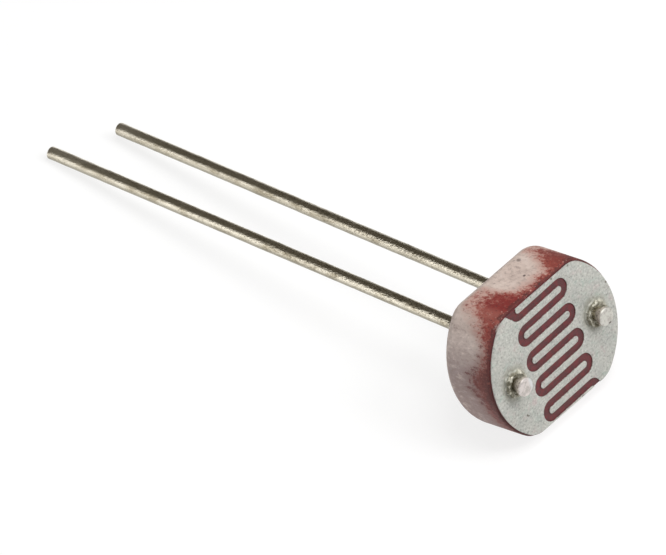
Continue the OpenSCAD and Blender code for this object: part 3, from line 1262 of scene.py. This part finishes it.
@dataclass
class CombElectrodes(HeadPiece):
    """The two interlocking combs of metal film, parted by the winding track."""

    stroke_count: int = 9
    stroke_half: float = 0.785
    track_w: float = 0.24
    turn_share: float = 0.02
    pattern_drop: float = 0.06
    pattern_turn: float = 1.2
    flare_w: float = 0.13
    flare_h: float = 0.11
    edge_bevel: float = 0.008
    edge_steps: int = 2
    # Points nearer than this share of the bevel are merged before it
    merge_share: float = 0.6
    # Height of the cutters, in thicknesses of the film
    cutter_rise: int = 6
    # The left comb alone reaches past this share of the radius on the left
    left_share: float = 0.9

    @property
    def step(self) -> float:
        """Distance from one stroke of the track to the next."""
        return (self.sizes.flat_w - 2 * self.sizes.front_r) / (self.stroke_count + self.turn_share)

    @property
    def finger_r(self) -> float:
        """Radius of a finger's rounded tip, inside a turn of the track."""
        return (self.step - self.track_w) / 2

    def place_pattern(self, piece: Workpiece) -> None:
        """Moves a cutter from the pattern's own frame to its place on the face."""
        piece.obj.rotation_euler = (0, 0, math.radians(self.pattern_turn))
        piece.obj.location = (0, -self.pattern_drop, 0)
        piece.fix_place()

    def track_cutter(self) -> Workpiece:
        """Sweeps a section of the track along its strokes and turns, as a bent strip.

        Returns:
            The track as a cutter.
        """
        height = self.cutter_rise * self.sizes.electrode_t
        middle_z = self.sizes.electrode_z + height / 2
        first_turn = self.stroke_count / 2 * self.step
        track = Workpiece.add(
            "track", bpy.ops.mesh.primitive_plane_add,
            stretch=(height + 2 * self.sizes.electrode_t, self.track_w, 1), size=1.0,
            location=(-self.stroke_half, first_turn + self.step / 2, middle_z), rotation=(0, math.pi / 2, 0),
        )
        with track.editing():
            for turn in range(self.stroke_count + 1):
                side = -1 if turn % 2 == 0 else 1
                centre = Vector((side * self.stroke_half, first_turn - turn * self.step, middle_z))
                track.spin(centre, Vector((0, 0, 1)), -side * math.pi, TURN_STEPS)
                if turn < self.stroke_count:
                    track.extrude(Vector((-side * 2 * self.stroke_half, 0, 0)))
        track.tidy()
        self.place_pattern(track)
        return track

    def flare_cutter(self) -> Workpiece:
        """Models the wedge by which the track's first turn widens towards the edge of the face.

        Returns:
            The wedge as a cutter.
        """
        edge = -self.stroke_half - self.finger_r - self.track_w
        low = self.stroke_count / 2 * self.step - self.flare_h
        reach = self.sizes.radius - low
        width = self.track_w / 2
        wedge = Workpiece.add(
            "flare", bpy.ops.mesh.primitive_cube_add,
            size=1.0, location=(edge + width / 2, low + reach / 2, self.sizes.face_z),
            scale=(width, reach, self.cutter_rise * self.sizes.electrode_t),
        )
        flat = self.sizes.half_flat - low
        with wedge.editing():
            wedge.pick(Pick.EDGE, lambda a, b: max(a.x, b.x) < edge + NEAR and min(a.y, b.y) > low + NEAR)
            bpy.ops.transform.translate(value=(-self.flare_w * reach / flat, 0, 0))
        self.place_pattern(wedge)
        return wedge

    def build(self, holes: Workpiece, nicks: Workpiece) -> dict[Side, Workpiece]:
        """Models the metal film and parts it along the track.

        Args:
            holes: Cutter for the lead holes.
            nicks: Cutter for the chips of the front edge.

        Returns:
            The comb of each side, laid down.
        """
        sheet = disc_with_flats("comb", self.sizes, self.sizes.electrode_z, self.sizes.face_z,
                                self.sizes.front_r)
        sheet.cut(holes)
        for make_cutter in (self.track_cutter, self.flare_cutter):
            cutter = make_cutter()
            sheet.cut(cutter)
            cutter.discard()
        top = self.sizes.face_z - NEAR
        with sheet.editing():
            sheet.merge(self.edge_bevel * self.merge_share)
            sheet.pick(Pick.FACE, lambda middle, normal: middle.z > top)
            bpy.ops.mesh.region_to_loop()
            sheet.bevel(self.edge_bevel, self.edge_steps)
        sheet.cut(nicks)
        with sheet.editing():
            bpy.ops.mesh.separate(type="LOOSE")
        parts = sorted(bpy.context.selected_objects, key=lambda o: -len(o.data.vertices))
        for crumb in parts[2:]:
            bpy.data.objects.remove(crumb)
        combs = {}
        for obj in parts[:2]:
            leftmost = min(v.co.x for v in obj.data.vertices)
            side = Side.LEFT if leftmost < -self.left_share * self.sizes.radius else Side.RIGHT
            combs[side] = Workpiece(f"comb_{side.label}", obj)
            combs[side].settle(self.pose)
        return combs

    def dress(self, combs: dict[Side, Workpiece]) -> None:
        """Gives both combs their finish."""
        finish = ElectrodeFinish(self.pose, self.sizes).make()
        for side, comb in combs.items():
            comb.enrol(f"electrode_{side.label}", "electrode", finish)


@dataclass
class ContactRing(HeadPiece):
    """The raised ring of paste that joins a lead to its electrode."""

    side: Side
    # Height and grain of its lumps, and the grain and share of the finer ones
    lump: float = 0.05
    lump_grain: float = 0.11
    fine_grain: float = 0.04
    fine_share: float = 0.45
    # How many places the foot is drawn in at, how far at most, and over what width
    pulls: int = 13
    pull: float = 0.09
    pull_w: float = 0.16
    seed: int = 5
    # Ranges of the draws: a place in its share of the foot, and shares of that pull and of that width
    place: tuple[float, float] = (0.0, 0.8)
    pull_share: tuple[float, float] = (0.2, 1.0)
    width_share: tuple[float, float] = (0.6, 1.2)
    toe_r: float = 0.46
    # The foot thins out to this height, finer than the solid's own edge
    toe_h: float = 0.012
    # The foot isn't roughened below this share of that height
    still_share: float = 1.5
    crest_pos: float = 0.34
    crest_h: float = 0.16
    crest_w: float = 0.05
    valley_h: float = 0.06
    crest_steps: int = 4
    slope_steps: int = 3
    smooth_angle: float = 60.0

    def profile(self) -> list[tuple[float, float]]:
        """Lists the ring's section from its foot over the crest to the lead.

        Returns:
            Radii and heights above the face.
        """
        base = self.crest_h - self.crest_w
        crest = [
            (self.crest_pos + self.crest_w * math.cos(a), base + self.crest_w * math.sin(a))
            for a in (math.pi * k / self.crest_steps for k in range(self.crest_steps + 1))
        ]
        start, end = (self.toe_r, self.toe_h), (self.sizes.lead_d / 2, self.valley_h)

        def slope(low: tuple[float, float], high: tuple[float, float]) -> list[tuple[float, float]]:
            """Points strictly between two ends."""
            shares = [k / self.slope_steps for k in range(1, self.slope_steps)]
            return [(low[0] + (high[0] - low[0]) * s, low[1] + (high[1] - low[1]) * s) for s in shares]

        return [start, *slope(start, crest[0]), *crest, *slope(crest[-1], end), end]

    def build(self) -> Workpiece:
        """Models the ring.

        Returns:
            The ring, laid down.
        """
        face = self.sizes.face_z
        axis = Vector((self.sizes.stud_x(self.side), 0))
        ring = Workpiece.cylinder(f"paste_{self.side.label}", self.toe_r, face, face + self.toe_h,
                                  RING_FACETS, axis)
        path = self.profile()
        on_axis = 10 * NEAR
        with ring.editing():
            ring.pick(Pick.FACE, lambda middle, normal: normal.z > FACING)
            for (r0, h0), (r1, h1) in zip(path, path[1:]):
                bpy.ops.mesh.inset(thickness=r0 - r1, depth=h1 - h0)
            ring.pick(Pick.FACE, lambda middle, normal: normal.z < -FACING)
            bpy.ops.mesh.inset(thickness=self.toe_r - self.sizes.lead_d / 2, depth=0.0)
            ring.pick(Pick.FACE, lambda middle, normal: (middle.xy - axis).length < on_axis)
            bpy.ops.mesh.bridge_edge_loops()
        ring.tidy()
        self.draw_in(ring, axis)
        ring.modify("SUBSURF", subdivision_type="SIMPLE", levels=1, render_levels=1)
        low = face + self.toe_h * self.still_share
        lumps = ring.group("lumps", lambda p: p.z > low)
        ring.roughen(self.lump, self.lump_grain, lumps)
        ring.roughen(self.lump * self.fine_share, self.fine_grain, lumps)
        ring.settle(self.pose, self.smooth_angle)
        return ring

    def draw_in(self, ring: Workpiece, axis: Vector) -> None:
        """Draws the foot in at places round it, so that its outline is uneven.

        Args:
            ring: The ring.
            axis: Middle of the lead, in the plane of the face.
        """
        draw = random.Random(self.seed + self.side.value)
        with ring.editing():
            for number in range(self.pulls):
                angle = math.tau * (number + draw.uniform(*self.place)) / self.pulls
                out = Vector((math.cos(angle), math.sin(angle)))
                spot = axis + out * self.toe_r
                near = math.pi * self.toe_r / RING_FACETS + NEAR
                ring.pick(Pick.EDGE, lambda a, b: max((a.xy - spot).length, (b.xy - spot).length) < near)
                bpy.ops.transform.translate(
                    value=tuple((out * -draw.uniform(*self.pull_share) * self.pull).to_3d()),
                    use_proportional_edit=True,
                    proportional_edit_falloff="SMOOTH",
                    proportional_size=self.pull_w * draw.uniform(*self.width_share),
                )

    def dress(self, ring: Workpiece, finish: bpy.types.Material) -> None:
        """Gives the ring its finish."""
        ring.enrol(f"contact_{self.side.label}", "paste", finish)


@dataclass
class WireLead(HeadPiece):
    """One lead: a headed end on the face, straight through the ceramic, a joggle behind it and a long run."""

    side: Side
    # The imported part's own mount on this wire
    mount: Mount
    head_d: float = 0.58
    head_h: float = 0.15
    head_out: float = 0.46
    head_edge: float = 0.04
    head_steps: int = 4
    # Widths of the rings of faces on the head's front
    head_rings: tuple[float, ...] = (0.05, 0.06, 0.06)
    # Height and grain of the head's lumps, and the level of them that stays where it is
    crown_lump: float = 0.035
    crown_grain: float = 0.12
    crown_still: float = 0.75
    joggle_start: float = 0.24
    joggle_end: float = 0.88
    bend_r: float = 0.4
    run_steps: int = 70
    tip_edge: float = 0.03
    tip_steps: int = 3
    dent: float = 0.012
    dent_grain: float = 0.3
    smooth_angle: float = 40.0

    def path(self) -> tuple[Vector, Vector, Vector, Vector]:
        """Works out the lead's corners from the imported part.

        Returns:
            The first corner, the second corner, the tip and the direction of the run.
        """
        middle = self.pose.upright(self.mount["pos_m"])
        run = self.pose.upright_axis(self.mount["axis"]).normalized()
        tip = middle + run * (self.mount["dims"]["length_mm"] / 2)
        first = Vector((self.sizes.stud_x(self.side), 0, -self.joggle_start))
        second = middle + run * ((-self.joggle_end - middle.z) / run.z)
        return first, second, tip, run

    def bend(self, wire: Workpiece, corner: Vector, before: Vector, after: Vector) -> None:
        """Bends the selected end of the wire round a corner, in edit mode.

        Args:
            wire: The wire.
            corner: Where the two straight lines meet.
            before: Direction of the wire before the bend.
            after: Direction after it.
        """
        angle = before.angle(after)
        inward = (after - before * math.cos(angle)) / math.sin(angle)
        start = corner - before * self.reach(before, after)
        wire.spin(start + inward * self.bend_r, before.cross(inward), angle, BEND_STEPS)

    def reach(self, before: Vector, after: Vector) -> float:
        """Length of wire that a bend takes up on each side of its corner."""
        return self.bend_r * math.tan(before.angle(after) / 2)

    def build(self) -> Workpiece:
        """Models the lead.

        Returns:
            The lead, laid down.
        """
        first, second, tip, run = self.path()
        top = self.sizes.face_z + self.head_out
        low = top - self.head_h
        down = Vector((0, 0, -1))
        across = (second - first).normalized()
        wire = Workpiece.cylinder(f"wire_{self.side.label}", self.head_d / 2, low, top, WIRE_FACETS, first.xy)
        with wire.editing():
            wire.pick(Pick.EDGE, lambda a, b: abs(a.z - b.z) < NEAR)
            wire.bevel(self.head_edge, self.head_steps)
            wire.pick(Pick.FACE, lambda middle, normal: normal.z > FACING and middle.z > top - NEAR)
            for width in self.head_rings:
                bpy.ops.mesh.inset(thickness=width, depth=0.0)
            bpy.ops.mesh.poke()
            wire.pick(Pick.FACE, lambda middle, normal: normal.z < -FACING and middle.z < low + NEAR)
            bpy.ops.mesh.inset(thickness=self.head_d / 2 - self.head_edge - self.sizes.lead_d / 2, depth=0.0)
            wire.extrude(down * (low - first.z - self.reach(down, across)))
            self.bend(wire, first, down, across)
            span = (second - first).length - self.reach(down, across) - self.reach(across, run)
            wire.extrude(across * span)
            self.bend(wire, second, across, run)
            length = (tip - second).length - self.reach(across, run)
            for _ in range(self.run_steps):
                wire.extrude(run * (length / self.run_steps))
            wire.bevel(self.tip_edge, self.tip_steps)
        wire.tidy()
        crown = wire.group("crown", lambda p: p.z > low)
        wire.roughen(self.crown_lump, self.crown_grain, crown, self.crown_still)
        wire.roughen(self.dent, self.dent_grain, wire.group("run", lambda p: p.z < -self.joggle_end))
        wire.settle(self.pose, self.smooth_angle)
        return wire

    def dress(self, wire: Workpiece, finish: bpy.types.Material) -> None:
        """Gives the lead its finish."""
        wire.enrol(f"lead_{self.side.label}", "wire", finish)


@dataclass(frozen=True)
class PhotoCamera:
    """A long-lens camera at the photograph's viewing angle."""

    azimuth: float = -43.948
    elevation: float = 44.096
    roll: float = -7.021
    # Width of the frame at the face, and the point seen in the middle of the picture, in millimetres
    frame_w: float = 18.7205
    aim: tuple[float, float, float] = (-2.9638, -3.5244, 4.3723)
    distance: float = 700.0
    sensor: float = 36.0

    def place(self) -> None:
        """Adds the camera and makes it the scene's own."""
        turn, rise, roll = (math.radians(a) for a in (self.azimuth, self.elevation, self.roll))
        back = Vector((math.sin(turn) * math.cos(rise), -math.cos(turn) * math.cos(rise), math.sin(rise)))
        level = Vector((math.cos(turn), math.sin(turn), 0))
        right = level * math.cos(roll) + back.cross(level) * math.sin(roll)
        up = back.cross(right)
        lens = bpy.data.cameras.new("photo_camera")
        lens.sensor_fit = "HORIZONTAL"
        lens.sensor_width = self.sensor
        lens.lens = self.sensor * self.distance / self.frame_w
        camera = bpy.data.objects.new("photo_camera", lens)
        bpy.context.scene.collection.objects.link(camera)
        seat = (Vector(self.aim) + back * self.distance) * MM
        camera.matrix_world = Matrix.Translation(seat) @ Matrix((right, up, back)).transposed().to_4x4()
        bpy.context.scene.camera = camera


@dataclass(frozen=True)
class Lamp:
    """A soft square lamp, by the direction it stands in and the light it gives a surface that faces it."""

    name: str
    towards: tuple[float, float, float]
    level: float
    size: float
    distance: float = 120.0

    def place(self, target: Vector) -> None:
        """Hangs the lamp.

        Args:
            target: The point that it is turned to, in metres.
        """
        data = bpy.data.lights.new(self.name, "AREA")
        data.shape = "SQUARE"
        data.size = self.size * MM
        data.energy = self.level * math.pi ** 2 * (self.distance * MM) ** 2
        lamp = bpy.data.objects.new(self.name, data)
        bpy.context.scene.collection.objects.link(lamp)
        direction = Vector(self.towards).normalized()
        lamp.location = target + direction * self.distance * MM
        lamp.rotation_mode = "QUATERNION"
        lamp.rotation_quaternion = direction.to_track_quat("Z", "Y")


@dataclass
class Studio:
    """The plain pale floor, the soft lamps and the dim room round them."""

    target: Vector
    floor_w: float = 3.0
    floor_tone: Colour = (0.86, 0.86, 0.86, 1.0)
    shown_tone: Colour = (0.22, 0.22, 0.22, 1.0)
    glow: float = 0.8
    room_dark: Colour = (0.07, 0.06, 0.044, 1.0)
    room_light: Colour = (0.5, 0.5, 0.5, 1.0)
    room_towards: tuple[float, float, float] = (0.15, -0.62, 0.77)
    below: Colour = (1.0, 1.0, 1.0, 1.0)
    lamps: tuple[Lamp, ...] = (
        Lamp("key_lamp", (0.3, -0.6, 0.75), 0.43, 40),
        Lamp("top_lamp", (0.1, -0.2, 1.0), 0.47, 60),
        Lamp("side_lamp", (-0.83, 0.47, 0.3), 0.24, 82),
    )

    def floor(self) -> None:
        """Lays the floor, which shows white and keeps the part's shadow."""
        floor = Workpiece.add("floor", bpy.ops.mesh.primitive_plane_add, size=self.floor_w).obj
        material = bpy.data.materials.new("paper_floor")
        shader = Shader(material)
        rays = ("Is Camera Ray", "Is Glossy Ray", "Is Transmission Ray")
        camera, glossy, through = (shader.node("ShaderNodeLightPath", output=ray) for ray in rays)
        seen = camera.at_least(glossy).at_least(through)
        plain = shader.node("ShaderNodeBsdfDiffuse", inputs={"Color": self.floor_tone})
        soft = shader.node("ShaderNodeBsdfDiffuse", inputs={"Color": self.shown_tone})
        light = shader.node("ShaderNodeEmission", inputs={"Color": self.below, "Strength": self.glow})
        shown = shader.node("ShaderNodeAddShader", inputs={0: soft, 1: light})
        mixed = shader.node("ShaderNodeMixShader", inputs={0: seen, 1: plain, 2: shown})
        shader.end(mixed, "ShaderNodeOutputMaterial")
        floor.data.materials.append(material)

    def room(self) -> None:
        """Sets the world: light in front and above, dim behind, white below."""
        world = bpy.data.worlds.new("studio_room")
        bpy.context.scene.world = world
        shader = Shader(world)
        direction = shader.node("ShaderNodeTexCoord", output="Generated")
        height = shader.split(direction)[2]
        facing = shader.node("ShaderNodeVectorMath", {"operation": "DOT_PRODUCT"},
                             {0: direction, 1: self.room_towards}, output="Value")
        colour = shader.layers(
            self.room_dark,
            (shader.band(facing, 0.2, 1.0), self.room_light),
            (shader.band(height, 0.0, -0.01), self.below),
        )
        light = shader.node("ShaderNodeBackground", inputs={"Color": colour, "Strength": 1.0})
        shader.end(light, "ShaderNodeOutputWorld")

    def build(self) -> None:
        """Sets up the whole studio."""
        self.floor()
        self.room()
        for lamp in self.lamps:
            lamp.place(self.target)
        bpy.context.scene.view_settings.view_transform = "Standard"
        LOG.info("studio with %d lamps", len(self.lamps))


def main() -> None:
    """Builds the camera, the pieces and the studio in order."""
    logging.basicConfig(level=logging.INFO, format="%(name)s: %(message)s")
    mounts = {mount["name"]: mount for mount in frame["record"]["mounts"]}
    sizes = HeadSizes.from_mounts(mounts)
    pose = RestPose.from_mounts(mounts, sizes)
    PhotoCamera().place()

    holes = lead_hole_cutter(sizes)
    nicks = EdgeNicks(sizes).cutter()
    for layer in (CeramicBody(sizes, pose), LightFilm(sizes, pose), CombElectrodes(sizes, pose)):
        layer.dress(layer.build(holes, nicks))
    holes.discard()
    nicks.discard()

    leads = {side: WireLead(sizes, pose, side, mounts[f"lead_{side.label}_wire"]) for side in Side}
    _, corner, _, run = leads[Side.LEFT].path()
    paste = PasteFinish(pose, sizes).make()
    tin = WireFinish(pose, sizes, (corner, run), leads[Side.LEFT].head_out).make()
    for side, lead in leads.items():
        ring = ContactRing(sizes, pose, side)
        ring.dress(ring.build(), paste)
        lead.dress(lead.build(), tin)

    # The lamps are turned to the head, which lies at this share of the way to the front
    head_share = 0.8
    low, high = CAD_BOX
    Studio(target=Vector((0, low.y * head_share, high.z / 2))).build()


if __name__ == "__main__":
    main()
